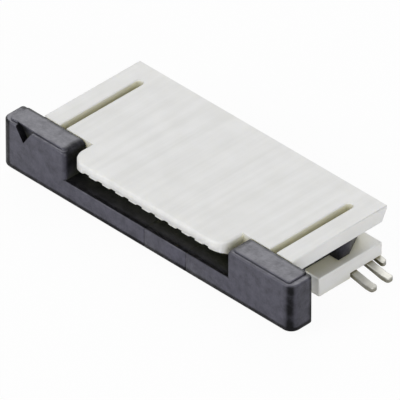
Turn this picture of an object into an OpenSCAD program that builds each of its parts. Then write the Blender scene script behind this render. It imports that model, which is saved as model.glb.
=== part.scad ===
// Slide-lock connector for a flat flexible cable: right-angle, surface-mount, contacts above the cable.
// X runs along the row of contacts, the cable goes in from -Y, and Z = 0 is the circuit board.
// Sizes are in millimetres. The slider is drawn pushed in, which is where it locks the cable.

/* [Contacts] */
// Number of contacts
circuits = 10; // [4:1:24]
// Distance from one contact to the next
pitch = 0.5; // [0.5:0.05:1]
// Thickness of the sheet that the contacts are stamped from
blade_t = 0.2; // [0.12:0.01:0.22]
// Room beside a contact's arms in their groove
groove_play = 0.02; // [0.01:0.01:0.04]
// Room above a contact's upper arm, for it to bend into
flex_play = 0.03; // [0.02:0.01:0.06]
// Height of an upper arm where it leaves the base
arm_root_h = 0.24; // [0.18:0.01:0.28]
// Height of an upper arm at its tip
arm_tip_h = 0.15; // [0.1:0.01:0.17]
// Distance from the cable's mouth to the contact point
reach_in = 1.3; // [1:0.05:1.6]
// Radius of the contact point
point_r = 0.08; // [0.05:0.01:0.1]
// How far the contact point would bite into a locked cable
squeeze = 0.07; // [0.03:0.01:0.1]
// Length of a lower arm
lower_arm_l = 1.35; // [0.8:0.05:1.5]
// Height of a lower arm at its tip
lower_tip_h = 0.16; // [0.1:0.01:0.2]
// Height of the blade's base above the board
base_lift = 0.28; // [0.24:0.01:0.32]
// How far the base stays inside the rear face
base_inset = 0.06; // [0:0.01:0.2]
// Width of the leg that goes down to the board
leg_w = 0.22; // [0.16:0.01:0.3]
// Thickness of a solder tail
tail_t = 0.15; // [0.1:0.01:0.2]
// How far the solder tails reach past the top plate
tail_reach = 0.485; // [0.2:0.005:0.8]
// Radius of the bends of a solder tail
tail_r = 0.1; // [0.05:0.01:0.12]

/* [Cable] */
// Thickness of the cable's stiffened end
cable_t = 0.3; // [0.2:0.01:0.33]
// Room on each side of the cable
cable_play = 0.05; // [0.03:0.01:0.1]
// Depth from the mouth to the cable stop
insert_l = 2.8; // [2.6:0.05:2.95]

/* [Housing] */
// Height of the connector above the board
height = 1.8; // [1.75:0.01:2]
// Thickness of the top plate
plate_t = 0.45; // [0.4:0.01:0.5]
// Length of the top plate behind the shoulders
plate_l = 3.585; // [3.5:0.005:4]
// Length of the tongue in front of the shoulders
tongue_l = 0.83; // [0.83:0.01:1.2]
// How far the tongue is wider than the cable, on each side
tongue_over = 0.105; // [0.08:0.005:0.15]
// Radius of the tongue's corners, seen from above
tongue_r = 0.46; // [0.2:0.02:0.6]
// Radius along the tongue's top edge
tongue_edge_r = 0.08; // [0.04:0.01:0.12]
// Thickness of the tongue's lip between the grooves
lip_t = 0.31; // [0.28:0.01:0.36]
// Thickness of the plastic left above the grooves
roof_t = 0.26; // [0.2:0.01:0.27]
// Length of the sloped lead-in under the lip
lead_l = 0.3; // [0.1:0.05:0.5]
// Distance from the cable's edge to the side of the top plate
side_w = 1.925; // [1.9:0.005:2.2]
// Thickness of the walls beside the cable
wall_t = 0.91; // [0.85:0.01:0.95]
// Height of the open channels that the slider's arms run in
channel_h = 0.65; // [0.6:0.01:0.7]
// Distance from the shoulders back to the ledges
ledge_back = 1.02; // [0.6:0.01:1.1]
// Width of the two slots in the top plate
slot_w = 0.24; // [0.15:0.01:0.3]
// Length of top plate left behind the slots
slot_bridge = 0.61; // [0.4:0.01:1]
// How far the rear edge of the top plate overhangs the rear face
rear_over = 0.185; // [0.1:0.005:0.3]
// Height of the square part of that edge
rear_edge_h = 0.08; // [0.04:0.01:0.2]
// Gap between the housing and the board
standoff = 0.11; // [0.1:0.01:0.13]
// Side of the feet that hold that gap
stand_w = 0.5; // [0.2:0.05:0.6]
// Distance from the shoulders back to those feet
stand_back = 0.2; // [0.1:0.01:0.3]

/* [Slider] */
// How far the slider stands out past the top plate, on each side
slider_over = 0.8; // [0.5:0.005:1]
// Thickness of the slider's end blocks, front to back
block_t = 0.8; // [0.7:0.01:0.85]
// Gap between the end blocks and the shoulders
seat_gap = 0.03; // [0.02:0.01:0.06]
// Gap between the tongue and each end block
block_gap = 0.195; // [0.1:0.005:0.4]
// Gap between the slider and the board
slider_lift = 0.28; // [0.25:0.01:0.33]
// Height of the bar between the end blocks
bar_h = 0.63; // [0.6:0.01:0.65]
// Radius of the end blocks' upright front corners
block_r = 0.28; // [0.05:0.01:0.3]
// Radius of the end blocks' upright rear corners
block_rear_r = 0.08; // [0.03:0.01:0.12]
// Radius of the end blocks' lower corners
block_low_r = 0.07; // [0.05:0.01:0.2]
// Radius along the bottom of the end blocks and the bar
bottom_r = 0.07; // [0.03:0.01:0.1]
// Radius of the end blocks' top corners beside the tongue
block_top_r = 0.2; // [0.05:0.01:0.25]
// Radius of the end blocks' upright front corners beside the tongue
block_inner_r = 0.12; // [0.03:0.01:0.15]
// Width of the step at the outer end of each block's top
step_w = 0.15; // [0.1:0.01:0.3]
// Width of the step along the front of each block's top
rim_w = 0.1; // [0.05:0.01:0.2]
// Depth of both steps
step_h = 0.035; // [0.01:0.005:0.08]
// Bevel along the end blocks' top front edge
block_bevel = 0.03; // [0.01:0.01:0.06]
// Thickness of the wedge plate under the cable
wedge_t = 0.35; // [0.3:0.01:0.36]
// Length of the wedge plate behind the bar
wedge_l = 1.65; // [1:0.05:1.7]
// Thickness of the wedge plate at its tip
wedge_tip_t = 0.2; // [0.1:0.01:0.25]
// Gap between the wedge plate and the housing
wedge_play = 0.02; // [0.01:0.01:0.04]

/* [Latch arms] */
// Room round an arm in its channel
arm_play = 0.05; // [0.03:0.01:0.08]
// Thickness of an arm
arm_w = 0.4; // [0.3:0.01:0.42]
// Length of an arm behind its end block
arm_l = 3.17; // [3:0.01:3.3]
// How much thicker an arm is at its root
root_w = 0.29; // [0.2:0.01:0.32]
// Length of that thick root
root_l = 0.9; // [0.5:0.01:0.92]
// How far the barb stands out from the arm
barb_w = 0.34; // [0.25:0.01:0.35]
// Length of the barb, from its catch to the arm's tip
barb_l = 1.22; // [1:0.01:1.25]
// Length of the barb's straight outer side
barb_flat = 0.41; // [0.2:0.01:0.5]
// How far the slider can be pulled out
travel = 0.85; // [0.6:0.01:0.9]
// Gap left between barb and stop at the end of the travel
stop_play = 0.01; // [0.01:0.01:0.03]
// Thickness of the stop that catches the barb
stop_t = 0.15; // [0.12:0.01:0.16]
// How far the stop hangs below the top plate
stop_h = 0.19; // [0.12:0.01:0.2]

/* [Solder nails] */
// Thickness of the nails' sheet
nail_t = 0.14; // [0.1:0.01:0.16]
// Height of the nail's sheet above the board
nail_lift = 0.18; // [0.16:0.01:0.22]
// How deep the nail is pressed into the wall
nail_grip = 0.4; // [0.3:0.01:0.5]
// How far the feet reach out past the side of the top plate
foot_reach = 0.765; // [0.5:0.005:0.78]
// Length of the flat end of a foot
foot_flat = 0.25; // [0.2:0.01:0.4]
// Length of the slope down to that end
foot_slope = 0.9; // [0.6:0.01:1]
// Width of a foot
foot_w = 0.24; // [0.2:0.01:0.4]
// Distance from one foot to the next
foot_pitch = 0.6; // [0.5:0.01:0.7]
// Radius of the corners at a foot's end
foot_r = 0.09; // [0.02:0.01:0.09]
// Distance from the rear face to the front of the nail
nail_l = 1.16; // [1.1:0.01:1.3]
// Width of the short tab behind the feet
tab_w = 0.2; // [0.1:0.01:0.25]
// How far that tab reaches out past the side of the top plate
tab_reach = 0.205; // [0.1:0.005:0.3]
// Room round the nail where it runs under the ledge
nail_play = 0.03; // [0.02:0.01:0.05]

/* [Pin-one mark] */
// Width of the triangle
mark_w = 0.65; // [0.3:0.01:0.8]
// Height of the triangle
mark_h = 0.44; // [0.3:0.01:0.7]
// Depth of the triangle
mark_depth = 0.14; // [0.05:0.01:0.3]
// Distance from the end of the slider to the triangle's centre line
mark_in = 0.84; // [0.5:0.01:1.2]

/* [Hidden] */
$fn = 48;
eps = 0.01;

// Places across the width, from the middle
row_w = (circuits - 1) * pitch;
cable_half = (circuits + 1) * pitch / 2;
mouth_half = cable_half + cable_play;
tongue_half = cable_half + tongue_over;
plate_half = cable_half + side_w;
core_half = mouth_half + wall_t;
arm_in = core_half + arm_play;
arm_out = arm_in + arm_w;
barb_out = arm_out + barb_w;
block_in = tongue_half + block_gap;
slider_half = plate_half + slider_over;
groove_w = blade_t + 2 * groove_play;

// Places along the depth, with the middle of the whole depth at Y = 0
depth = tongue_l + plate_l + tail_reach;
front_y = -depth / 2;
shoulder_y = front_y + tongue_l;
rear_y = shoulder_y + plate_l;
core_rear = rear_y - rear_over;
stop_y = front_y + insert_l;
point_y = front_y + reach_in;
block_rear = shoulder_y - seat_gap;
block_front = block_rear - block_t;
wedge_y = block_rear + wedge_l;
arm_y = block_rear + arm_l;
barb_y = arm_y - barb_l;
latch_y = barb_y - travel - stop_play;
ledge_y = shoulder_y + ledge_back;
nail_front = core_rear - nail_l;
base_rear = core_rear - base_inset;

// Heights
under = height - plate_t;
ledge_top = under - channel_h;
bar_top = slider_lift + bar_h;
wedge_low = bar_top - wedge_t;
floor_top = wedge_low - wedge_play;
groove_roof = height - roof_t;
blade_top = groove_roof - flex_play;
lower_root_h = floor_top - base_lift - wedge_play;
point_z = bar_top + cable_t - squeeze;
nail_top = nail_lift + nail_t;
foot_end = plate_half + foot_reach;
foot_low = foot_end - foot_flat;
foot_bend = foot_low - foot_slope;
foot_root = foot_bend + nail_t;
throat_r = (blade_top - arm_root_h - base_lift - lower_root_h) / 2;

housing_color = "#e4e4de";
slider_color = "#55555f";
tin_color = "#c9c9c4";

function contact_name(i) = str("contact_", i < 10 ? "0" : "", i);
function contact_x(i) = (i - 1) * pitch - row_w / 2;

// A box from its low corner to its high corner
module box(low, high) {
    translate(low) cube(high - low);
}

// Extrudes a (Y, Z) profile along X, about the middle
module along_x(w) {
    rotate([90, 0, 90]) linear_extrude(w, center = true) children();
}

// Extrudes an (X, Z) profile from y0 to y1
module along_y(y0, y1) {
    translate([0, y1, 0]) rotate([90, 0, 0]) linear_extrude(y1 - y0) children();
}

module both_sides() {
    children();
    mirror([1, 0, 0]) children();
}

// A flat rectangle whose corners are rounded at low and at high Y
module soft_rect(low, high, low_r, high_r) {
    difference() {
        translate(low) square(high - low);
        for (corner = [[low[0], 1], [high[0], -1]]) {
            corner_waste([corner[0], low[1]], [corner[1], 1], low_r);
            corner_waste([corner[0], high[1]], [corner[1], -1], high_r);
        }
    }
}

// What rounding takes from one corner; dir points from the corner into the rectangle
module corner_waste(corner, dir, r) {
    if (r > 0)
        translate(corner) scale([dir[0], dir[1]]) difference() {
            translate([-eps, -eps]) square(r + eps);
            translate([r, r]) circle(r);
        }
}

// ---- Housing ----

module top_plate() {
    along_x(2 * plate_half)
        polygon([[shoulder_y, under], [core_rear, under], [rear_y, height - rear_edge_h],
            [rear_y, height], [shoulder_y, height]]);
}

module tongue() {
    difference() {
        translate([0, 0, under]) linear_extrude(plate_t)
            soft_rect([-tongue_half, front_y], [tongue_half, shoulder_y + eps], tongue_r, 0);
        tongue_edge_waste();
    }
}

// The rounding of the tongue's top edge: the front, both sides and the two corners
module tongue_edge_waste() {
    straight = 2 * (tongue_half - tongue_r);
    side_l = shoulder_y - front_y - tongue_r;
    translate([0, front_y, height]) along_x(straight) edge_profile();
    for (side = [-1, 1]) {
        translate([side * tongue_half, front_y + tongue_r, height])
            mirror([side > 0 ? 1 : 0, 0, 0]) along_y(0, side_l) edge_profile();
        translate([side * (tongue_half - tongue_r), front_y + tongue_r, height])
            rotate([0, 0, side > 0 ? -90 : 180]) rotate_extrude(angle = 90)
                translate([tongue_r, 0]) mirror([1, 0]) edge_profile();
    }
}

// Waste at a top edge that runs through the origin, with the solid at +X and below
module edge_profile() {
    difference() {
        translate([-eps, -tongue_edge_r]) square(tongue_edge_r + eps);
        translate([tongue_edge_r, -tongue_edge_r]) circle(tongue_edge_r);
    }
}

// Walls, floor and rear of the housing, still without the cable's mouth
module core() {
    box([-core_half, shoulder_y, standoff], [core_half, core_rear, under + eps]);
}

// The ledge under one arm channel, cut away below for the nail
module ledge() {
    difference() {
        box([core_half - eps, ledge_y, standoff], [plate_half, core_rear, ledge_top]);
        along_y(nail_front - nail_play, core_rear + eps) nail_recess();
    }
}

// The space that the nail needs under the ledge, as an (X, Z) profile
module nail_recess() {
    top = nail_top + nail_play;
    out_x = plate_half + eps;
    polygon([[core_half - 2 * eps, standoff - eps], [out_x, standoff - eps],
        [out_x, top - nail_lift * (out_x - foot_bend) / foot_slope], [foot_bend, top],
        [core_half - 2 * eps, top]]);
}

// The stop under the top plate that catches the slider's barb
module latch_stop() {
    box([arm_out + arm_play, latch_y - stop_t, under - stop_h], [barb_out, latch_y, under + eps]);
}

module front_foot() {
    foot_y = shoulder_y + stand_back;
    box([mouth_half, foot_y, 0], [mouth_half + stand_w, foot_y + stand_w, standoff + eps]);
}

// The space for the cable and, below it, the slider's wedge plate
module cable_mouth() {
    box([-mouth_half, shoulder_y - eps, floor_top], [mouth_half, stop_y, under]);
}

// The slope that guides the cable in under the lip
module lead_in() {
    along_x(2 * (cable_half - cable_play))
        polygon([[front_y - eps, under - eps], [front_y - eps, height - lip_t], [front_y, height - lip_t],
            [front_y + lead_l, under], [front_y + lead_l, under - eps]]);
}

// Grooves for one contact's arms, and the slot that its base and leg are pressed into
module contact_cut() {
    groove_half = groove_w / 2;
    lower_y = stop_y - lower_arm_l - flex_play;
    leg_y = base_rear - leg_w - groove_play;
    box([-groove_half, front_y - eps, under - eps], [groove_half, stop_y, groove_roof]);
    box([-groove_half, lower_y, base_lift - flex_play], [groove_half, stop_y, floor_top + eps]);
    box([-blade_t / 2, stop_y - eps, base_lift], [blade_t / 2, core_rear + eps, blade_top]);
    box([-blade_t / 2, leg_y, standoff - eps], [blade_t / 2, core_rear + eps, base_lift + eps]);
}

// The slot in the top plate over one arm channel, round at its rear end
module plate_slot() {
    slot_x = (arm_in + arm_out) / 2;
    end_y = rear_y - slot_bridge - slot_w / 2;
    box([slot_x - slot_w / 2, shoulder_y - eps, under - eps], [slot_x + slot_w / 2, end_y, height + eps]);
    translate([slot_x, end_y, under - eps]) cylinder(plate_t + 2 * eps, d = slot_w);
}

module nail_pocket() {
    box([core_half - nail_grip, nail_front, nail_lift], [core_half + eps, core_rear + eps, nail_top]);
}

module housing() {
    color(housing_color) difference() {
        union() {
            top_plate();
            tongue();
            core();
            both_sides() ledge();
            both_sides() latch_stop();
            both_sides() front_foot();
        }
        cable_mouth();
        lead_in();
        for (i = [1 : circuits])
            translate([contact_x(i), 0, 0]) contact_cut();
        both_sides() plate_slot();
        both_sides() nail_pocket();
    }
}

// ---- Contacts ----

// The arm that presses on the cable from above, with its round contact point
module upper_arm() {
    tip_y = point_y - 2 * point_r;
    polygon([[stop_y + throat_r, blade_top - arm_root_h], [stop_y + throat_r, blade_top],
        [tip_y, blade_top], [tip_y, blade_top - arm_tip_h]]);
    polygon([[point_y - 2 * point_r, blade_top - arm_tip_h], [point_y - point_r, point_z + point_r],
        [point_y + point_r, point_z + point_r], [point_y + 3 * point_r, blade_top - arm_tip_h],
        [point_y, blade_top]]);
    translate([point_y, point_z + point_r]) circle(point_r);
}

// The arm that holds the wedge plate up from below
module lower_arm() {
    tip_y = stop_y - lower_arm_l;
    polygon([[stop_y + throat_r, base_lift], [stop_y + throat_r, base_lift + lower_root_h],
        [tip_y + 2 * lower_tip_h, floor_top - wedge_play], [tip_y + lower_tip_h, floor_top],
        [tip_y, floor_top], [tip_y, floor_top - lower_tip_h]]);
}

// The leg and the tail that is soldered to the board
module tail() {
    leg_y = base_rear - leg_w;
    difference() {
        union() {
            translate([leg_y, 0]) square([leg_w, base_lift + eps]);
            translate([leg_y, 0]) square([depth / 2 - leg_y, tail_t]);
            translate([base_rear - eps, tail_t - eps]) square(tail_r);
        }
        translate([base_rear + tail_r, tail_t + tail_r]) circle(tail_r);
        corner_waste([leg_y, 0], [1, 1], tail_r);
    }
}

// One contact blade, drawn in (Y, Z) and given its sheet thickness along X
module blade() {
    along_x(blade_t) {
        difference() {
            translate([stop_y, base_lift]) square([base_rear - stop_y, blade_top - base_lift]);
            translate([stop_y, base_lift + lower_root_h + throat_r]) circle(throat_r);
        }
        upper_arm();
        lower_arm();
        tail();
    }
}

module contact(i) {
    color(tin_color) translate([contact_x(i), 0, 0]) blade();
}

// ---- Solder nails ----

// The nail's sheet seen from the front: pressed into the wall, then down to the board
module nail_profile() {
    in_x = core_half - nail_grip;
    polygon([[in_x, nail_lift], [foot_bend, nail_lift], [foot_low, 0], [foot_end, 0], [foot_end, nail_t],
        [foot_low, nail_t], [foot_bend, nail_top], [in_x, nail_top]]);
}

// The nail seen from above: two feet and a short tab on one strip
module nail_outline() {
    in_x = core_half - nail_grip;
    translate([in_x, nail_front]) square([foot_root - in_x, core_rear - nail_front]);
    for (i = [0, 1])
        translate([0, nail_front + i * foot_pitch]) foot_outline(foot_end, foot_w);
    translate([0, core_rear - tab_w]) foot_outline(plate_half + tab_reach, tab_w);
}

// A foot or the tab, w wide, out to end_x
module foot_outline(end_x, w) {
    difference() {
        translate([foot_root - eps, 0]) square([end_x - foot_root + eps, w]);
        corner_waste([end_x, 0], [-1, 1], foot_r);
        corner_waste([end_x, w], [-1, -1], foot_r);
    }
}

module nail() {
    intersection() {
        along_y(nail_front - eps, core_rear + eps) nail_profile();
        linear_extrude(nail_top + eps) nail_outline();
    }
}

module solder_nail_right() {
    color(tin_color) nail();
}

module solder_nail_left() {
    color(tin_color) mirror([1, 0, 0]) nail();
}

// ---- Slider ----

// End blocks and bar seen from the front
module slider_front() {
    difference() {
        soft_rect([-slider_half, slider_lift], [slider_half, height], block_low_r, 0);
        translate([-block_in, bar_top]) square([2 * block_in, height - bar_top + eps]);
        for (side = [-1, 1])
            corner_waste([side * block_in, height], [side, -1], block_top_r);
        for (side = [-1, 1])
            translate([side * (slider_half - step_w / 2 + eps), height])
                square([step_w + 2 * eps, 2 * step_h], center = true);
    }
}

// End blocks and bar seen from the side, with the step and the bevel along the top front edge
module slider_side() {
    rim_z = height - step_h;
    difference() {
        polygon([[block_front, slider_lift], [block_rear, slider_lift], [block_rear, height],
            [block_front + rim_w, height], [block_front + rim_w, rim_z], [block_front + block_bevel, rim_z],
            [block_front, rim_z - block_bevel]]);
        corner_waste([block_front, slider_lift], [1, 1], bottom_r);
        corner_waste([block_rear, slider_lift], [-1, 1], bottom_r);
    }
}

// End blocks and bar seen from above
module slider_plan() {
    soft_rect([-slider_half, block_front], [slider_half, block_rear], block_r, block_rear_r);
}

module slider_body() {
    difference() {
        intersection() {
            along_y(block_front - eps, block_rear + eps) slider_front();
            along_x(2 * slider_half + eps) slider_side();
            linear_extrude(height + eps) slider_plan();
        }
        for (side = [-1, 1])
            translate([0, 0, bar_top]) linear_extrude(height)
                corner_waste([side * block_in, block_front], [side, 1], block_inner_r);
    }
}

// The plate that wedges the cable against the contacts
module wedge_plate() {
    tip_low = bar_top - wedge_tip_t;
    along_x(2 * cable_half)
        polygon([[block_rear - eps, wedge_low], [wedge_y - wedge_t, wedge_low], [wedge_y, tip_low],
            [wedge_y, bar_top - wedge_tip_t / 2], [wedge_y - wedge_tip_t, bar_top], [block_rear - eps, bar_top]]);
}

// One latch arm with its barb, seen from above
module latch_arm() {
    low = ledge_top + arm_play;
    high = under - arm_play;
    root_x = arm_out + root_w;
    root_y = block_rear + root_l;
    tip_x = arm_out - arm_w / 4;
    translate([0, 0, low]) linear_extrude(high - low)
        polygon([[arm_in, block_rear - eps], [root_x, block_rear - eps], [root_x, root_y - root_w / 2],
            [root_x - root_w / 2, root_y], [arm_out, root_y], [arm_out, barb_y], [barb_out, barb_y],
            [barb_out, barb_y + barb_flat], [tip_x, arm_y], [arm_in, arm_y]]);
}

// The triangle that points out the first contact, open at the top of the block
module pin_one_mark() {
    mark_x = mark_in - slider_half;
    along_y(block_front - eps, block_front + mark_depth)
        polygon([[mark_x - mark_w / 2, height + eps], [mark_x + mark_w / 2, height + eps],
            [mark_x, height - mark_h]]);
}

module slider() {
    color(slider_color) difference() {
        union() {
            slider_body();
            wedge_plate();
            both_sides() latch_arm();
        }
        pin_one_mark();
    }
}

housing();
slider();
solder_nail_left();
solder_nail_right();
for (i = [1 : circuits])
    contact(i);
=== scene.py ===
import math

import bmesh
import bpy
from mathutils import Matrix, Vector


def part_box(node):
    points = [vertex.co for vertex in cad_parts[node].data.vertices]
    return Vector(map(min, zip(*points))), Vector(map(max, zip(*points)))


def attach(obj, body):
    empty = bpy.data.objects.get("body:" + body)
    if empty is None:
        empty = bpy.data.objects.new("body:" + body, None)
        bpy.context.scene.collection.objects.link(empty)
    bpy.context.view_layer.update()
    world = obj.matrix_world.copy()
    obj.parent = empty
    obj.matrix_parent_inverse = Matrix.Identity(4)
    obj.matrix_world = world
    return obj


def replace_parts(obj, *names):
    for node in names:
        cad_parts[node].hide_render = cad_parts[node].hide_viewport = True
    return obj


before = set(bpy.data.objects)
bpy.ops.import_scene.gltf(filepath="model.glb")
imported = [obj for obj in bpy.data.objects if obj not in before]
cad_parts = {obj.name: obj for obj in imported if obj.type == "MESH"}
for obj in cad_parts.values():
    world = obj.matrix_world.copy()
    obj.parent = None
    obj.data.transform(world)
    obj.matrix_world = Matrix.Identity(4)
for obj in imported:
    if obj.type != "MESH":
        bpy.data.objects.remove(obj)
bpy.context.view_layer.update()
mm = 0.001
mixA, mixB, mixOut = 6, 7, 2  # the colour sockets of a Mix node


def linear(hexColour):
    channels = [int(hexColour[i:i + 2], 16) / 255 for i in (1, 3, 5)]
    return [c / 12.92 if c <= 0.04045 else ((c + 0.055) / 1.055) ** 2.4 for c in channels] + [1.0]


def addNode(tree, kind, inputs=None, **settings):  # an input is a value, or a socket to link from
    node = tree.nodes.new(kind)
    for name, value in settings.items():
        setattr(node, name, value)
    for name, value in (inputs or {}).items():
        if isinstance(value, bpy.types.NodeSocket):
            tree.links.new(value, node.inputs[name])
        else:
            node.inputs[name].default_value = value
    return node


def scaleFor(sizeMm):  # the scale of a pattern with features of sizeMm, on Object coordinates in metres
    return 1000 / sizeMm


def lookDirection(azimuth, elevation):  # from the object towards the eye; azimuth 0 is in front, 90 at +X
    a, e = math.radians(azimuth), math.radians(elevation)
    return Vector((math.sin(a) * math.cos(e), -math.cos(a) * math.cos(e), math.sin(e)))


def link(thing):
    bpy.context.scene.collection.objects.link(thing)
    return thing


# camera: a long lens, so that the parallel edges stay nearly parallel
cameraView = {
    "azimuth": 45.11, "elevation": 36.04, "distance": 400 * mm,
    "target": (0, 0, 0.9 * mm), "right": -0.280 * mm, "up": -0.259 * mm,  # the aim, then moved across
    "lens": 1350, "sensor": 36, "near": 10 * mm, "far": 10,
}


def placeCamera():
    view = cameraView
    back = lookDirection(view["azimuth"], view["elevation"])
    right = Vector((0, 0, 1)).cross(back).normalized()
    up = back.cross(right)
    data = bpy.data.cameras.new("productCamera")
    data.lens, data.sensor_width = view["lens"], view["sensor"]
    data.clip_start, data.clip_end = view["near"], view["far"]
    camera = link(bpy.data.objects.new("productCamera", data))
    aim = Vector(view["target"]) + right * view["right"] + up * view["up"]
    camera.location = aim + back * view["distance"]
    camera.rotation_euler = back.to_track_quat("Z", "Y").to_euler()
    bpy.context.scene.camera = camera


placeCamera()
bpy.context.scene.view_settings.view_transform = "Standard"
print("camera placed")


# studio: a pale floor, a plain world and three large soft boxes
studio = {"floorSize": 600 * mm, "floorColour": "#f4f4f4", "floorGlow": 0.95, "worldFill": 0.31}
softBoxes = {  # azimuth, elevation, distance, side length, power
    "frontBox": (-14, 32, 320 * mm, 200 * mm, 0.44),
    "backBox": (222, 38, 320 * mm, 220 * mm, 0.31),
    "sideBox": (64, 22, 320 * mm, 200 * mm, 0.44),
}


def newMaterial(name):
    material = bpy.data.materials.new(name)
    material.use_nodes = True
    material.node_tree.nodes.clear()
    return material, material.node_tree


def makeFloor():
    half = studio["floorSize"] / 2
    corners = [(-half, -half, 0), (half, -half, 0), (half, half, 0), (-half, half, 0)]
    mesh = bpy.data.meshes.new("paleFloor")
    mesh.from_pydata(corners, [], [(0, 1, 2, 3)])
    floor = link(bpy.data.objects.new("paleFloor", mesh))
    material, tree = newMaterial("mattWhiteBoard")  # coated card: scatters evenly and takes a soft shadow
    board = addNode(tree, "ShaderNodeBsdfDiffuse", {"Color": linear(studio["floorColour"])})
    glow = addNode(tree, "ShaderNodeEmission", {"Color": (1, 1, 1, 1), "Strength": 1.0})
    path = addNode(tree, "ShaderNodeLightPath")
    share = addNode(tree, "ShaderNodeMath", {0: path.outputs["Is Camera Ray"], 1: studio["floorGlow"]},
                    operation="MULTIPLY")
    mix = addNode(tree, "ShaderNodeMixShader", {0: share.outputs[0], 1: board.outputs[0], 2: glow.outputs[0]})
    addNode(tree, "ShaderNodeOutputMaterial", {"Surface": mix.outputs[0]})
    floor.data.materials.append(material)


def makeWorld():  # plain white where it is seen or mirrored, and a soft fill otherwise
    world = bpy.data.worlds.new("studioWorld")
    world.use_nodes = True
    tree = world.node_tree
    tree.nodes.clear()
    path = addNode(tree, "ShaderNodeLightPath").outputs
    seen = path["Is Camera Ray"]
    for ray in ("Is Glossy Ray", "Is Transmission Ray"):
        seen = addNode(tree, "ShaderNodeMath", {0: seen, 1: path[ray]}, operation="MAXIMUM").outputs[0]
    fill = addNode(tree, "ShaderNodeBackground", {"Color": (1, 1, 1, 1), "Strength": studio["worldFill"]})
    white = addNode(tree, "ShaderNodeBackground", {"Color": (1, 1, 1, 1), "Strength": 1.0})
    mix = addNode(tree, "ShaderNodeMixShader", {0: seen, 1: fill.outputs[0], 2: white.outputs[0]})
    addNode(tree, "ShaderNodeOutputWorld", {"Surface": mix.outputs[0]})
    bpy.context.scene.world = world


def hangSoftBoxes():
    for name, (azimuth, elevation, distance, side, power) in softBoxes.items():
        data = bpy.data.lights.new(name, "AREA")
        data.shape, data.size, data.energy = "SQUARE", side, power
        lamp = link(bpy.data.objects.new(name, data))
        back = lookDirection(azimuth, elevation)
        lamp.location = back * distance
        lamp.rotation_euler = back.to_track_quat("Z", "Y").to_euler()


makeFloor()
makeWorld()
hangSoftBoxes()
print("studio lit")


# materials: the cloud colour comes in patches, and painted shade in the hollow shade colour where the surface
# is sheltered;
# a span is the range over which a tint or the painted shade comes in or fades out
def shadeHollows(tree, colour, v):  # paints shade into sheltered places; gives the shaded colour and how sheltered the place is
    shelter = addNode(tree, "ShaderNodeAmbientOcclusion", {"Distance": v["hollowShadeMm"] * mm}, samples=8)
    depth = addNode(tree, "ShaderNodeMapRange", {
        "Value": shelter.outputs["AO"], "From Min": v["hollowShadeSpan"][0], "From Max": v["hollowShadeSpan"][1],
        "To Min": 1.0, "To Max": 0.0}).outputs[0]
    hollowShaded = addNode(tree, "ShaderNodeMix", {"Factor": depth, mixA: colour, mixB: linear(v["hollowShade"])},
                     data_type="RGBA")
    return hollowShaded.outputs[mixOut], depth


naturalNylon = {
    "colour": "#e7e7e6", "cloud": "#dededc", "cloudMm": 0.9, "cloudSpan": (0.75, 1.25),
    "flowMm": (0.22, 5.0, 1.0),  # the streaks are long along the way that the plastic ran in
    # the hollow shade is painted shade: an olive tint in the slots, the gaps and under the ledge
    "hollowShade": "#e4e1c8", "hollowShadeMm": 0.8, "hollowShadeSpan": (0.2, 0.68),
    "grainMm": 0.05, "grainHeight": 0.01, "grainStrength": 0.12,  # drawn coarser than the real grain, to show
    "roughness": 0.45, "ior": 1.53,
    "translucence": 0.25, "scatterMm": 0.25, "scatterTint": (1.0, 0.95, 0.75),
}


def makeNaturalNylon():  # glass-filled nylon moulded against spark-eroded steel: creamy, streaked, satin
    v = naturalNylon
    material, tree = newMaterial("mouldedNaturalNylon")
    place = addNode(tree, "ShaderNodeTexCoord").outputs["Object"]
    flowPlace = addNode(tree, "ShaderNodeMapping", {
        "Vector": place, "Scale": [scaleFor(size) for size in v["flowMm"]]})
    flow = addNode(tree, "ShaderNodeTexNoise", {
        "Vector": flowPlace.outputs[0], "Scale": 1.0, "Detail": 2.0}).outputs["Fac"]
    cloud = addNode(tree, "ShaderNodeTexNoise", {
        "Vector": place, "Scale": scaleFor(v["cloudMm"]), "Detail": 3.0}).outputs["Fac"]
    both = addNode(tree, "ShaderNodeMath", {0: flow, 1: cloud}, operation="ADD")
    share = addNode(tree, "ShaderNodeMapRange", {
        "Value": both.outputs[0], "From Min": v["cloudSpan"][0], "From Max": v["cloudSpan"][1]})
    streaked = addNode(tree, "ShaderNodeMix", {
        "Factor": share.outputs[0], mixA: linear(v["colour"]), mixB: linear(v["cloud"])}, data_type="RGBA")
    # painted shade: the streaked colour turns olive where the surface is sheltered
    colour = shadeHollows(tree, streaked.outputs[mixOut], v)[0]
    grain = addNode(tree, "ShaderNodeTexNoise", {
        "Vector": place, "Scale": scaleFor(v["grainMm"]), "Detail": 2.0})
    bump = addNode(tree, "ShaderNodeBump", {
        "Height": grain.outputs["Fac"], "Strength": v["grainStrength"], "Distance": v["grainHeight"] * mm})
    surface = addNode(tree, "ShaderNodeBsdfPrincipled", {
        "Base Color": colour, "Roughness": v["roughness"], "IOR": v["ior"], "Normal": bump.outputs[0],
        "Subsurface Weight": v["translucence"], "Subsurface Radius": v["scatterTint"],
        "Subsurface Scale": v["scatterMm"] * mm})
    addNode(tree, "ShaderNodeOutputMaterial", {"Surface": surface.outputs[0]})
    return material


glassFilledLcp = {
    "colour": "#494856", "cloud": "#31303c", "cloudMm": 0.3, "cloudSpan": (0.35, 0.65),
    # the hollow shade is painted shade: olive-black in the cable channel under the tongue and in the gaps
    "hollowShade": "#313324", "hollowShadeMm": 0.9, "hollowShadeSpan": (0.35, 0.7),
    "edge": "#0e0e11", "edgeShadeSpread": (0.8, 1.15),  # the painted shade colour of edges and gaps, and how much the patches vary it
    "grainMm": 0.06, "grainHeight": 0.01, "grainStrength": 0.5,  # drawn coarser than the real grain, to show
    # shadedGleam is how much reflection is left where painted shade falls
    "roughness": (0.3, 0.48), "ior": 1.6, "shadedGleam": 0.1,
}


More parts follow.
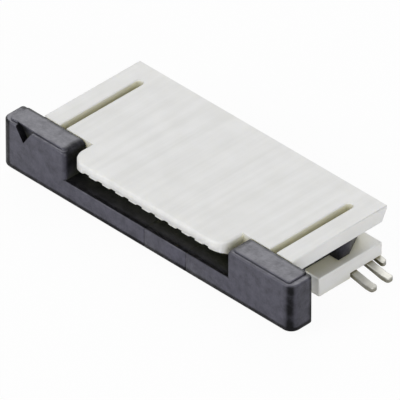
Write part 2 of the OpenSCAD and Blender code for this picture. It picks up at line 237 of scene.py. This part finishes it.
def makeGlassFilledLcp():  # dark grey glass-filled resin, moulded: a satin sheen that short fibres break up
    v = glassFilledLcp
    material, tree = newMaterial("mouldedGlassFilledLcp")
    place = addNode(tree, "ShaderNodeTexCoord").outputs["Object"]
    cloud = addNode(tree, "ShaderNodeTexNoise", {
        "Vector": place, "Scale": scaleFor(v["cloudMm"]), "Detail": 5.0, "Roughness": 0.7}).outputs["Fac"]
    patches = {"Value": cloud, "From Min": v["cloudSpan"][0], "From Max": v["cloudSpan"][1]}
    share = addNode(tree, "ShaderNodeMapRange", patches)
    clouded = addNode(tree, "ShaderNodeMix", {
        "Factor": share.outputs[0], mixA: linear(v["colour"]), mixB: linear(v["cloud"])}, data_type="RGBA")
    # painted shade in the sheltered places
    colour, depth = shadeHollows(tree, clouded.outputs[mixOut], v)
    shadeSpread = addNode(tree, "ShaderNodeMapRange", {
        **patches, "To Min": v["edgeShadeSpread"][0], "To Max": v["edgeShadeSpread"][1]}).outputs[0]
    # painted shade read from the slider's skins: dark edges, the gaps beside the tongue, the notch and the
    # channel
    tone = addNode(tree, "ShaderNodeAttribute", attribute_name="edgeTone").outputs["Fac"]
    edge = addNode(tree, "ShaderNodeMath", {0: tone, 1: shadeSpread}, operation="MULTIPLY", use_clamp=True)
    edged = addNode(tree, "ShaderNodeMix", {
        "Factor": edge.outputs[0], mixA: colour, mixB: linear(v["edge"])}, data_type="RGBA")
    grain = addNode(tree, "ShaderNodeTexNoise", {
        "Vector": place, "Scale": scaleFor(v["grainMm"]), "Detail": 3.0})
    bump = addNode(tree, "ShaderNodeBump", {
        "Height": grain.outputs["Fac"], "Strength": v["grainStrength"], "Distance": v["grainHeight"] * mm})
    # painted shade also dims the reflection on the painted dark edges and in the hollows
    gleamShade = addNode(tree, "ShaderNodeMath", {0: edge.outputs[0], 1: depth}, operation="MAXIMUM")
    gleam = addNode(tree, "ShaderNodeMix", {
        "Factor": gleamShade.outputs[0], mixA: (1, 1, 1, 1), mixB: (*[v["shadedGleam"]] * 3, 1)}, data_type="RGBA")
    roughness = addNode(tree, "ShaderNodeMapRange", {
        **patches, "To Min": v["roughness"][0], "To Max": v["roughness"][1]})
    surface = addNode(tree, "ShaderNodeBsdfPrincipled", {
        "Base Color": edged.outputs[mixOut], "Roughness": roughness.outputs[0], "IOR": v["ior"],
        "Normal": bump.outputs[0], "Specular Tint": gleam.outputs[mixOut]})
    addNode(tree, "ShaderNodeOutputMaterial", {"Surface": surface.outputs[0]})
    return material


mattTin = {
    # the hollow shade is painted shade: olive-brown at the feet's roots, under the ledge
    "colour": "#bfbeb8", "cloud": "#a4a39d", "hollowShade": "#8c866a", "hollowShadeMm": 0.4, "hollowShadeSpan": (0.3, 0.75),
    "crystalMm": 0.12, "crystalHeight": 0.01, "crystalStrength": 0.15,  # drawn coarser than real, to show
    "roughness": 0.46,
}


def makeMattTin():  # matt tin plated on stamped bronze: a soft grey metal with a faint crystal bloom
    v = mattTin
    material, tree = newMaterial("mattTinPlating")
    place = addNode(tree, "ShaderNodeTexCoord").outputs["Object"]
    crystal = addNode(tree, "ShaderNodeTexNoise", {
        "Vector": place, "Scale": scaleFor(v["crystalMm"]), "Detail": 3.0}).outputs["Fac"]
    bloom = addNode(tree, "ShaderNodeMix", {
        "Factor": crystal, mixA: linear(v["colour"]), mixB: linear(v["cloud"])}, data_type="RGBA")
    # painted shade where the metal is sheltered
    colour = shadeHollows(tree, bloom.outputs[mixOut], v)[0]
    bump = addNode(tree, "ShaderNodeBump", {
        "Height": crystal, "Strength": v["crystalStrength"], "Distance": v["crystalHeight"] * mm})
    surface = addNode(tree, "ShaderNodeBsdfPrincipled", {
        "Base Color": colour, "Roughness": v["roughness"], "Metallic": 1.0, "Normal": bump.outputs[0]})
    addNode(tree, "ShaderNodeOutputMaterial", {"Surface": surface.outputs[0]})
    return material


nylon = makeNaturalNylon()
lcp = makeGlassFilledLcp()
tin = makeMattTin()
for name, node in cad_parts.items():
    node.data.materials.clear()
    node.data.materials.append(lcp if name == "slider" else nylon if name == "housing" else tin)
print("materials mixed")


# slider: two end blocks, the bar between them, two latch arms and the wedge plate, each a closed skin
lockSlider = {
    # the blocks and the bar in mm, with the rounds seen from above and then those seen from the front
    "blockDepth": 0.8, "innerFace": 3.05, "underside": 0.24, "barTop": 0.885, "softEdge": 0.03,
    "innerRound": 0.12, "outerRound": 0.28, "rearRound": 0.08, "innerRearRound": 0.02, "arcSteps": 10,
    "bottomRound": 0.07, "bottomSteps": 4, "topInnerRound": 0.2, "topInnerDrops": (0.2, 0.16, 0.12),
    # the raised panel on a block: each ring's drop, its pull at front and end, and its pull at the rear;
    # the crown is the ring inside which the top is plain
    "step": 0.045, "endStep": 0.2, "frontStep": 0.11, "stepRound": 0.1,
    "panelRings": ((0.02, 0, 0), (0.006, 0.006, 0.006), (0, 0.02, 0.05)),
    "crownPull": 0.06, "crownRearPull": 0.11, "crownRound": 0.06,
    # painted shade on edges, end faces and gaps: a tone of 1 is fully dark; end faces differ by side, and the
    # bar's top, painted as shadow under the tongue, is darkest at -X
    "darkLine": 0.125, "darkFade": 0.06, "innerTone": 0.85, "topInnerTone": 0.6,
    "endTones": {1: {"wall": 0.3}, -1: {"wall": 1, "rim": 1}},
    "bandPeak": 1.5, "bandFall": 3.6, "bandCentre": 0.42, "frontMargin": 0.07, "rearMargin": 0.09,
    "barEdgeTone": 0.2, "barEdgeWidth": 0.1, "barEdgeFade": 0.22, "barTopTone": 0.35, "barTopToneLeft": 0.95,
    # the mould lines across the bar, shallow grooves with painted shade along them
    "mouldLines": (-0.05, 1.51), "lineDepth": 0.015, "lineReach": 0.02, "lineTone": 0.45,
    # the pin-one mark, a notch with painted shade inside, which fades at its inner back corner
    "markIn": 0.84, "markWidth": 0.66, "markHeight": 0.48, "markDepth": 0.2, "markOver": 0.02,
    "markTip": 0.001, "markLip": 0.002, "markFade": -0.4,
    "sharpAngle": 60,
}


def cornerArc(centre, radius, start, steps):  # a quarter circle, counter-clockwise from the start angle
    turns = [math.radians(start + 90 * i / steps) for i in range(steps + 1)]
    return [(centre[0] + radius * math.cos(t), centre[1] + radius * math.sin(t)) for t in turns]


def toned(points, toneAt):  # pairs each point with the tone at its share of the way along
    return [(point, toneAt(i / (len(points) - 1))) for i, point in enumerate(points)]


def skin(rings, tones):  # a closed shell through rings of points in mm, each point with its painted shade tone
    shell = bmesh.new()
    edgeTone = shell.verts.layers.float.new("edgeTone")
    rows = [[shell.verts.new(Vector(point) * mm) for point in ring] for ring in rings]
    for row, tone in zip(rows, tones):
        for vertex, value in zip(row, tone):
            vertex[edgeTone] = value
    for low, high in zip(rows, rows[1:]):
        for i in range(len(low)):
            j = (i + 1) % len(low)
            shell.faces.new((low[i], low[j], high[j], high[i]))
    shell.faces.new(list(reversed(rows[0])))
    shell.faces.new(rows[-1])
    bmesh.ops.remove_doubles(shell, verts=shell.verts, dist=0.0001 * mm)
    bmesh.ops.recalc_face_normals(shell, faces=shell.faces)
    return shell


def blockLevels(low, high):  # the outline of an end block at each height, from the board upwards
    v = lockSlider
    top, soft = high.z, v["softEdge"]
    rim = top - v["step"]
    markTip = top - v["markHeight"]
    levels = []

    def add(z, part="wall", end=0, front=0, rear=0, inner=0, innerRound=v["innerRound"],
            outerRound=v["outerRound"], tone=0):
        rise = max(0.0, z - top + v["topInnerRound"])
        lean = v["topInnerRound"] - math.sqrt(max(0.0, v["topInnerRound"] ** 2 - rise ** 2))
        # painted shade on the inner face, down the gap beside the tongue, above the bar
        innerTone = v["innerTone"] if z < top else v["topInnerTone"]
        if z <= v["barTop"] or part == "crown":
            innerTone = 0
        levels.append({
            "z": z, "part": part, "x0": v["innerFace"] + lean + inner, "x1": high.x - end,
            "y0": low.y + front, "y1": low.y + v["blockDepth"] - rear, "innerRound": innerRound,
            "outerRound": outerRound, "tone": tone, "innerTone": innerTone})

    # the bottom rounds and a line above them carry painted shade
    for i in range(v["bottomSteps"] + 1):
        a = math.radians(90 * i / v["bottomSteps"])
        pull = v["bottomRound"] * (1 - math.sin(a))
        rise = v["bottomRound"] * (1 - math.cos(a))
        add(v["underside"] + rise, end=pull, front=pull, rear=pull, innerRound=0, tone=1)
    add(v["underside"] + v["darkLine"], innerRound=0, tone=1)
    add(v["underside"] + v["darkLine"] + v["darkFade"], innerRound=0)
    add(v["barTop"], innerRound=0)
    add(v["barTop"])
    add(markTip)
    add(markTip + v["markTip"])
    for drop in v["topInnerDrops"]:
        add(top - drop)
    add(rim - soft)
    add(rim, "rim", end=soft, front=soft, outerRound=v["outerRound"] - soft)
    add(rim, "panel", end=2 * soft, front=2 * soft, outerRound=v["outerRound"] - 2 * soft)
    add(rim, "panel", end=v["endStep"], front=v["frontStep"], outerRound=v["stepRound"])
    for drop, pull, rearPull in v["panelRings"]:
        add(top - drop, "panel", end=v["endStep"] + pull, front=v["frontStep"] + pull, rear=rearPull,
            outerRound=v["stepRound"])
    pull = v["crownPull"]
    add(top, "crown", end=v["endStep"] + pull, front=v["frontStep"] + pull, rear=v["crownRearPull"],
        inner=pull, outerRound=v["crownRound"])
    return levels


def markNotch(level, low, high):  # the pin-one mark's six points, on the front line where it isn't cut; the notch's walls carry painted shade
    v = lockSlider
    y0, tone, part = level["y0"], level["tone"], level["part"]
    rise = (level["z"] - high.z) / v["markHeight"] + 1
    half = max(0.0, rise) * v["markWidth"] / 2
    depth = v["markDepth"] if part in ("wall", "rim") else v["frontStep"] + v["markOver"]
    lip, back, notchShade, fade = y0 + v["markLip"], low.y + depth, 1, v["markFade"]
    if rise <= 0 or part == "crown":
        lip, back, notchShade, fade = y0, y0, tone, tone
    middle = high.x - v["markIn"]
    inner, outer = middle - half, middle + half
    return [((inner, y0), tone), ((inner, lip), notchShade), ((inner, back), fade),
            ((outer, back), notchShade), ((outer, lip), notchShade), ((outer, y0), tone)]


def bandTone(share):  # the painted shade band down the outer front corner of the block at +X
    v = lockSlider
    return min(1, v["bandPeak"] - abs(share - v["bandCentre"]) * v["bandFall"])


def blockRings(low, high, side):  # an end block; side is 1 or -1, and the one at -X has the pin-one mark
    v = lockSlider
    steps, rearRound, smallRound = v["arcSteps"], v["rearRound"], v["innerRearRound"]
    rings, tones = [], []
    for level in blockLevels(low, high):
        z, x0, x1, y0, y1 = (level[key] for key in ("z", "x0", "x1", "y0", "y1"))
        part, tone, innerTone = level["part"], level["tone"], level["innerTone"]
        innerRound, outerRound = level["innerRound"], level["outerRound"]
        # painted shade: darker end faces, a dark band down the outer front corner, and dark rear and inner
        # corners
        endTone = max(tone, v["endTones"][side].get(part, 0))
        innerFront = cornerArc((x0 + innerRound, y0 + innerRound), innerRound, 180, steps)
        outerFront = cornerArc((x1 - outerRound, y0 + outerRound), outerRound, 270, steps)
        outerRear = cornerArc((x1 - rearRound, y1 - rearRound), rearRound, 0, steps)
        innerRear = cornerArc((x0 + smallRound, y1 - smallRound), smallRound, 90, steps)
        points = toned(innerFront, lambda share: max(tone, innerTone * (1 - share)))
        if side < 0:
            points += markNotch(level, low, high)
        points.append(((x1 - outerRound - v["frontMargin"], y0), tone))
        points += toned(outerFront, lambda share: max(endTone, bandTone(share) if part == "wall" else 0))
        points.append(((x1, y1 - rearRound - v["rearMargin"]), endTone))
        points += [(point, 0 if part == "crown" else 1) for point in outerRear]
        points += [(point, max(tone, innerTone)) for point in innerRear]
        rings.append([(side * x, y, z) for (x, y), dark in points])
        tones.append([dark for point, dark in points])
    return rings, tones


def barRings(low):  # the bar, skinned from one block to the other, with its two mould lines
    v = lockSlider
    z0, y1, r, soft = v["underside"], low.y + v["blockDepth"], v["bottomRound"], v["softEdge"]
    bulge = soft * 0.3  # where a rounded edge passes its middle
    xs = [-v["innerFace"]]
    for x in v["mouldLines"]:
        xs += [x - v["lineReach"], x, x + v["lineReach"]]
    xs.append(v["innerFace"])
    rings, tones = [], []
    for x in xs:
        cut = v["lineDepth"] if x in v["mouldLines"] else 0
        y0, z1 = low.y + cut, v["barTop"] - cut
        # painted shade on the bar's edges and mould lines, and painted shadow from the tongue on its top,
        # darkest beside the block at -X
        faceTone = v["lineTone"] if cut else 0
        topTone = v["barTopToneLeft"] if x == xs[0] else v["barTopTone"]
        below = cornerArc((y1 - r, z0 + r), r, 270, v["bottomSteps"])[::-1]
        below += cornerArc((y0 + r, z0 + r), r, 180, v["bottomSteps"])[::-1]
        outline = [((y0, z1 - soft), faceTone), ((y0 + bulge, z1 - bulge), v["barEdgeTone"]),
                   ((y0 + soft, z1), 1), ((y0 + v["barEdgeWidth"], z1), 1),
                   ((y0 + v["barEdgeFade"], z1), topTone), ((y1 - soft, z1), topTone), ((y1, z1 - soft), 1)]
        outline += [(point, 1) for point in below]
        outline += [((y0, z0 + v["darkLine"]), 1), ((y0, z0 + v["darkLine"] + v["darkFade"]), faceTone)]
        rings.append([(x, y, z) for (y, z), tone in outline])
        tones.append([tone for point, tone in outline])
    return rings, tones


latchArm = {
    "inner": 3.76, "outer": 4.16, "low": 0.75, "high": 1.3, "length": 3.17, "tipPull": 0.1,
    "rootWidth": 0.29, "rootLength": 0.9, "barb": 0.34, "barbLength": 1.22, "barbFlat": 0.41,
    "edge": 0.02, "sunk": 0.01,  # the soft edge, and how far the root is sunk in the block
}


def armRings(rear, side):  # a latch arm with its barb, skinned from its underside to its top
    v = latchArm
    start, root, tip = rear - v["sunk"], rear + v["rootLength"], rear + v["length"]
    barb = tip - v["barbLength"]
    inner, outer = v["inner"], v["outer"]
    wide, reach = outer + v["rootWidth"], outer + v["barb"]
    chamfer = v["rootWidth"] / 2
    outline = [  # each corner and its painted shade tone
        ((inner, start), 0.5), ((wide, start), 0.5), ((wide, root - chamfer), 0.5),
        ((wide - chamfer, root), 0.5), ((outer, root), 0.8), ((outer, barb), 1), ((reach, barb), 1),
        ((reach, barb + v["barbFlat"]), 0.5), ((outer - v["tipPull"], tip), 0.6), ((inner, tip), 0.6)]
    corners = [Vector(corner) for corner, tone in outline]
    rings = []
    for z, pull in ((v["low"], 1), (v["low"] + v["edge"], 0), (v["high"] - v["edge"], 0), (v["high"], 1)):
        ring = []
        for before, here, after in zip(corners[-1:] + corners[:-1], corners, corners[1:] + corners[:1]):
            inward = Vector((0, 0))
            for along in ((here - before).normalized(), (after - here).normalized()):
                inward += Vector((-along.y, along.x))
            ring.append(here + inward * pull * v["edge"])
        rings.append([(side * point.x, point.y, z) for point in ring])
    return rings, [[tone for corner, tone in outline]] * len(rings)


# the wedge plate's tone is painted shade: it lies in the shadow under the tongue
wedgePlate = {"half": 2.75, "thickness": 0.35, "length": 1.65, "tip": 0.2, "edge": 0.02, "sunk": 0.01,
              "tone": 0.25}


def wedgeRings(rear, top):  # the plate that wedges the cable, skinned across its width
    v = wedgePlate
    root, tip, bottom = rear - v["sunk"], rear + v["length"], top - v["thickness"]
    outline = [(root, bottom), (tip - v["thickness"], bottom), (tip, top - v["tip"]),
               (tip, top - v["tip"] / 2), (tip - v["tip"], top), (root, top)]
    middle = Vector((sum(y for y, z in outline) / len(outline), sum(z for y, z in outline) / len(outline)))
    rings = []
    for x, pull in ((-v["half"], 1), (-v["half"] + v["edge"], 0), (v["half"] - v["edge"], 0), (v["half"], 1)):
        ring = [corner + (middle - corner).normalized() * pull * v["edge"] for corner in map(Vector, outline)]
        rings.append([(x, *point) for point in ring])
    return rings, [[v["tone"]] * len(outline)] * len(rings)


def finished(rough, material):  # applies the modifiers and keeps the shading of large faces flat
    name = rough.name
    normals = rough.modifiers.new("flatFaces", "WEIGHTED_NORMAL")
    normals.keep_sharp = True
    graph = bpy.context.evaluated_depsgraph_get()
    mesh = bpy.data.meshes.new_from_object(rough.evaluated_get(graph), depsgraph=graph)
    bpy.data.objects.remove(rough)
    mesh.name = name
    mesh.materials.clear()
    mesh.materials.append(material)
    return link(bpy.data.objects.new(name, mesh))


def makeSlider():
    low, high = [Vector(corner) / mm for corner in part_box("slider")]
    rear = low.y + lockSlider["blockDepth"]
    shells = [skin(*blockRings(low, high, side)) for side in (1, -1)]
    shells.append(skin(*barRings(low)))
    shells += [skin(*armRings(rear, side)) for side in (1, -1)]
    shells.append(skin(*wedgeRings(rear, lockSlider["barTop"])))
    whole = bmesh.new()
    for shell in shells:
        part = bpy.data.meshes.new("part")
        shell.to_mesh(part)
        shell.free()
        whole.from_mesh(part)
        bpy.data.meshes.remove(part)
    mesh = bpy.data.meshes.new("lockSlider")
    whole.to_mesh(mesh)
    whole.free()
    mesh.shade_smooth()
    mesh.set_sharp_from_angle(angle=math.radians(lockSlider["sharpAngle"]))
    return finished(link(bpy.data.objects.new("lockSlider", mesh)), lcp)


# softened copies of the moulded housing and of the stamped metal; angles are in degrees
softening = {"mergeMm": 0.00002, "flatAngle": 0.6, "cornerAngle": 32, "sharpAngle": 40, "segments": 2}


def softened(node, name, edgeWidth, material, reshape=None):  # edgeWidth gives an edge's width in mm
    v = softening
    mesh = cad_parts[node].data.copy()
    shell = bmesh.new()
    shell.from_mesh(mesh)
    bmesh.ops.remove_doubles(shell, verts=shell.verts, dist=v["mergeMm"] * mm)
    bmesh.ops.dissolve_limit(shell, angle_limit=math.radians(v["flatAngle"]), verts=shell.verts,
                             edges=shell.edges)
    if reshape:
        for vertex in shell.verts:
            reshape(vertex.co)
    shell.edges.index_update()
    widths = [0.0] * len(shell.edges)
    for edge in shell.edges:
        if edge.is_manifold and edge.is_convex and edge.calc_face_angle() > math.radians(v["cornerAngle"]):
            a, b = edge.verts[0].co / mm, edge.verts[1].co / mm
            widths[edge.index] = edgeWidth((a + b) / 2, b - a)
    shell.to_mesh(mesh)
    shell.free()
    widest = max(widths)
    weights = mesh.attributes.new("bevel_weight_edge", "FLOAT", "EDGE")
    weights.data.foreach_set("value", [width / widest for width in widths])
    mesh.shade_smooth()
    mesh.set_sharp_from_angle(angle=math.radians(v["sharpAngle"]))
    rough = link(bpy.data.objects.new(name, mesh))
    bevel = rough.modifiers.new("softEdges", "BEVEL")
    bevel.limit_method, bevel.width, bevel.segments = "WEIGHT", widest * mm, v["segments"]
    bevel.use_clamp_overlap = False
    return finished(rough, material)


mouldedHousing = {
    "edge": 0.03,
    "grooveX": 2.5, "grooveTop": 1.6, "grooveRear": 1.7, "mouthX": 2.75, "mouthTop": 1.7,  # these stay crisp
    "cheekX": 2.69, "cheekTop": 1.35, "cheekRear": -1.7, "cheekSlack": 0.005,  # under the tongue's two ends
    "leadStart": -2.15, "leadLength": 0.3, "leadRise": 0.14,
}


def slopeCheeks(point):  # carries the lead-in's slope on under the tongue's two cheeks
    v = mouldedHousing
    x, y, z = point / mm
    if abs(x) > v["cheekX"] and y < v["cheekRear"] and abs(z - v["cheekTop"]) < v["cheekSlack"]:
        point.z += min(1, max(0, (v["leadStart"] - y) / v["leadLength"])) * v["leadRise"] * mm


def housingEdge(middle, along):
    v = mouldedHousing
    x, y, z = abs(middle.x), middle.y, middle.z
    inGrooves = x < v["grooveX"] and (z < v["grooveTop"] or y > v["grooveRear"])
    inMouth = x < v["mouthX"] and z < v["mouthTop"]
    return 0.0 if inGrooves or inMouth else v["edge"]


solderNail = {"edge": 0.02}


def nailEdge(middle, along):
    return solderNail["edge"]


# contacts: one stamped blade, repeated along the row by Geometry Nodes
contactRow = {"pitch": 0.5, "edge": 0.012, "shortest": 0.05}  # edges shorter than this stay crisp


def bladeEdge(middle, along):
    return contactRow["edge"] if along.length > contactRow["shortest"] else 0.0


def growRow(blade, count, material):
    tree = bpy.data.node_groups.new("bladeRow", "GeometryNodeTree")
    for name, kind in (("Blade", "Object"), ("Count", "Int"), ("Pitch", "Float"), ("First", "Float"),
                       ("Finish", "Material")):
        tree.interface.new_socket(name, in_out="INPUT", socket_type="NodeSocket" + kind)
    tree.interface.new_socket("Row", in_out="OUTPUT", socket_type="NodeSocketGeometry")
    given = addNode(tree, "NodeGroupInput").outputs
    start = addNode(tree, "ShaderNodeCombineXYZ", {"X": given["First"]})
    step = addNode(tree, "ShaderNodeCombineXYZ", {"X": given["Pitch"]})
    line = addNode(tree, "GeometryNodeMeshLine", {
        "Count": given["Count"], "Start Location": start.outputs[0], "Offset": step.outputs[0]})
    source = addNode(tree, "GeometryNodeObjectInfo", {"Object": given["Blade"]})
    spread = addNode(tree, "GeometryNodeInstanceOnPoints", {
        "Points": line.outputs[0], "Instance": source.outputs["Geometry"]})
    real = addNode(tree, "GeometryNodeRealizeInstances", {"Geometry": spread.outputs[0]})
    plated = addNode(tree, "GeometryNodeSetMaterial", {
        "Geometry": real.outputs[0], "Material": given["Finish"]})
    addNode(tree, "NodeGroupOutput", {"Row": plated.outputs[0]})
    holder = link(bpy.data.objects.new("contactRow", bpy.data.meshes.new("contactRow")))
    grow = holder.modifiers.new("bladeRow", "NODES")
    grow.node_group = tree
    pitch = contactRow["pitch"] * mm
    values = {"Blade": blade, "Count": count, "Pitch": pitch, "First": -(count - 1) / 2 * pitch,
              "Finish": material}
    for socket in tree.interface.items_tree:
        if socket.name in values:
            grow[socket.identifier] = values[socket.name]
    graph = bpy.context.evaluated_depsgraph_get()
    mesh = bpy.data.meshes.new_from_object(holder.evaluated_get(graph), depsgraph=graph)
    bpy.data.objects.remove(holder)
    bpy.data.objects.remove(blade)
    mesh.name = "contactRow"
    return link(bpy.data.objects.new("contactRow", mesh))


housing = softened("housing", "mouldedHousing", housingEdge, nylon, slopeCheeks)
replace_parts(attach(housing, "base"), "housing")
print("housing softened")

slider = makeSlider()
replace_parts(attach(slider, "lock"), "slider")
print("slider skinned")

for side in ("left", "right"):
    nail = softened("solder_nail_" + side, "solderNail" + side.capitalize(), nailEdge, tin)
    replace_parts(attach(nail, "base"), "solder_nail_" + side)
contactNodes = sorted(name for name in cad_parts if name.startswith("contact_"))
firstBlade = softened(contactNodes[0], "firstBlade", bladeEdge, tin)
toMiddle = contactRow["pitch"] * (len(contactNodes) - 1) / 2 * mm  # brings the first blade to the middle
firstBlade.data.transform(Matrix.Translation((toMiddle, 0, 0)))
row = growRow(firstBlade, len(contactNodes), tin)
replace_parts(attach(row, "base"), *contactNodes)
print("nails and contacts stamped")
